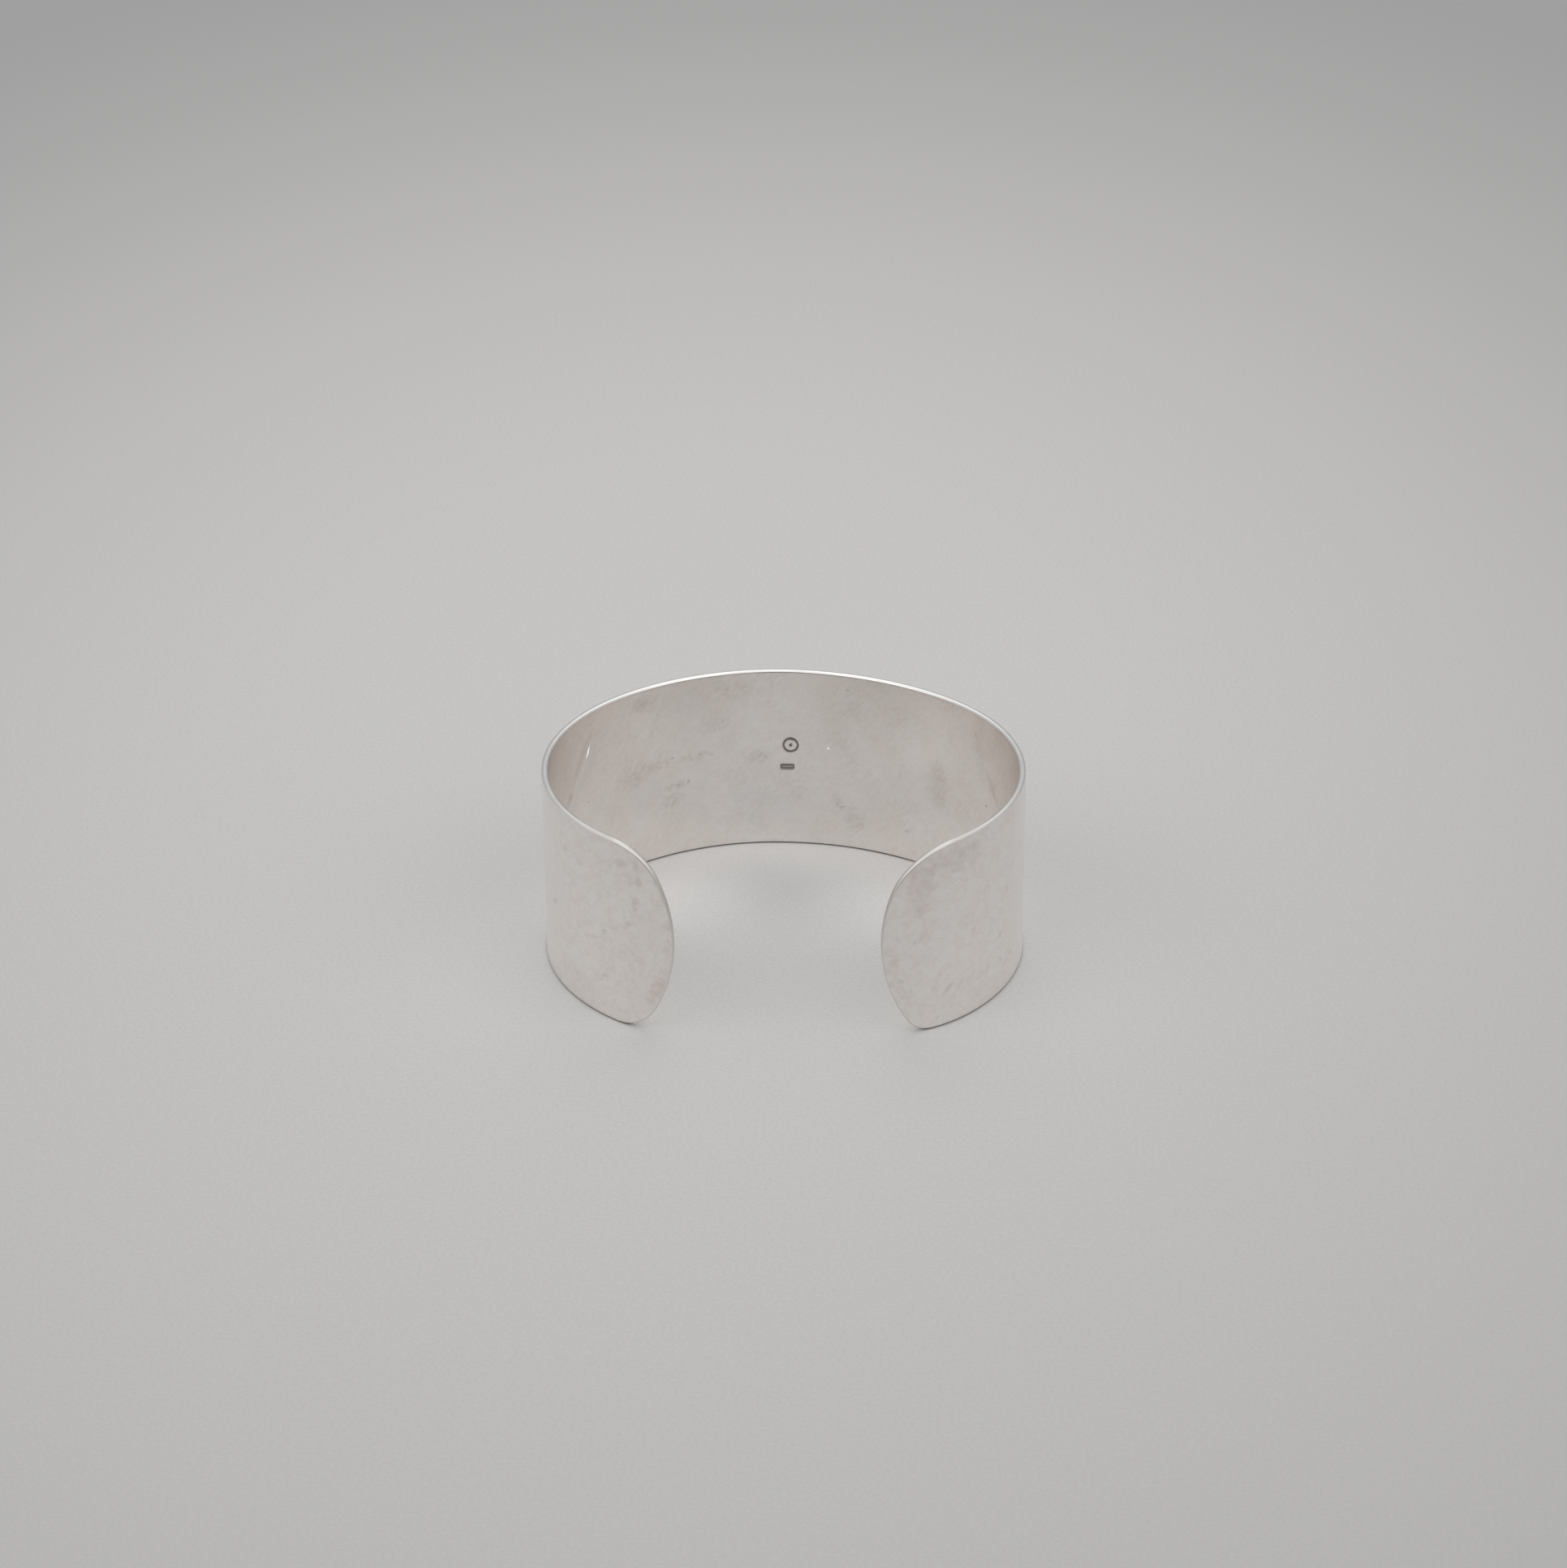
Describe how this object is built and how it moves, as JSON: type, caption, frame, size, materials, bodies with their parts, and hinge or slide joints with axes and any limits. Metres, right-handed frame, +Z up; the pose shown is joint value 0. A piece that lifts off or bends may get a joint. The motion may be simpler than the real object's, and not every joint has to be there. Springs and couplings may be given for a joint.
{
  "type": "open cuff bangle",
  "caption": "Open cuff bangle: a plain strip of silver sheet with rounded ends, bent to an oval with a gap for the wrist.",
  "frame": {"origin": "middle of the band's footprint, on the surface that its lower edge rests on", "axes": "+Z up across the band, +Y towards the closed back, -Y out through the gap between the ends"},
  "size_m": [0.0594, 0.0502, 0.025],
  "materials": {
    "silver": "silver sheet, fine satin outside and inside with light stains and scratches, edges filed round and polished"
  },
  "bodies": {
    "root": {"cuff_band": "silver"}
  },
  "joints": []
}
